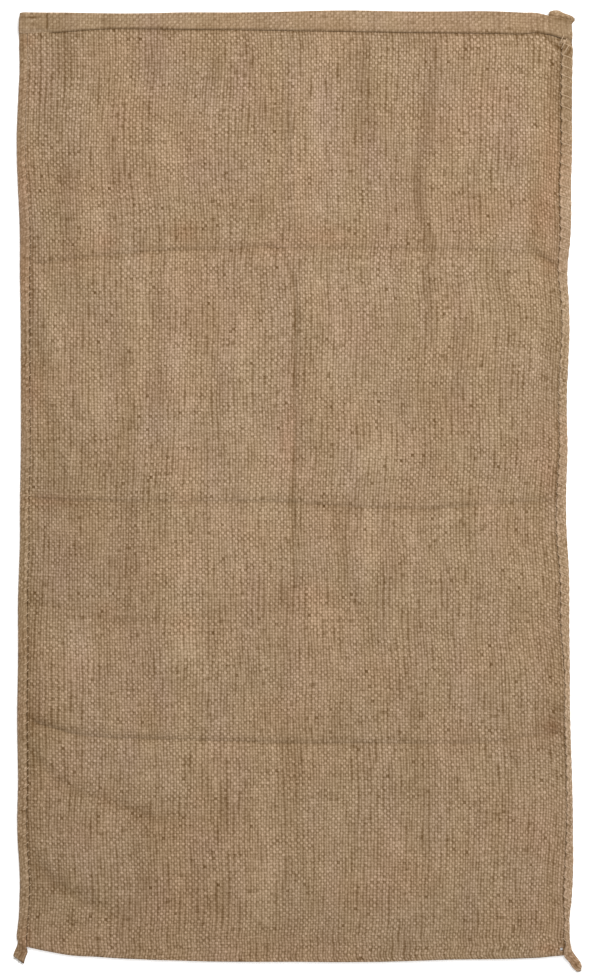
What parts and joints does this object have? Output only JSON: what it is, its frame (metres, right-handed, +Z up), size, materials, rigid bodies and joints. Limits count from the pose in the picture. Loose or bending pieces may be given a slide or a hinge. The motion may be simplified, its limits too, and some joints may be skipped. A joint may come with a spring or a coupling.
{
  "type": "empty jute sack lying flat",
  "caption": "Empty plain-woven jute sack lying flat, open at its hemmed mouth, with sewn side ridges ending in tails, to be filled with loose goods.",
  "frame": {"origin": "bottom centre of the sack's box, on the floor it lies on", "axes": "+X across the sack towards the seam with the folded-over upper tail, +Y from the bottom fold to the mouth, +Z up from the floor"},
  "size_m": [0.6198, 1.0488, 0.014],
  "materials": {
    "hessian": "matt natural jute, plain weave",
    "sewn_edge": "matt rolled jute edge sewn over with jute twine"
  },
  "bodies": {
    "root": {"sack_cloth": "hessian", "seam_left": "sewn_edge", "seam_right": "sewn_edge"}
  },
  "joints": []
}
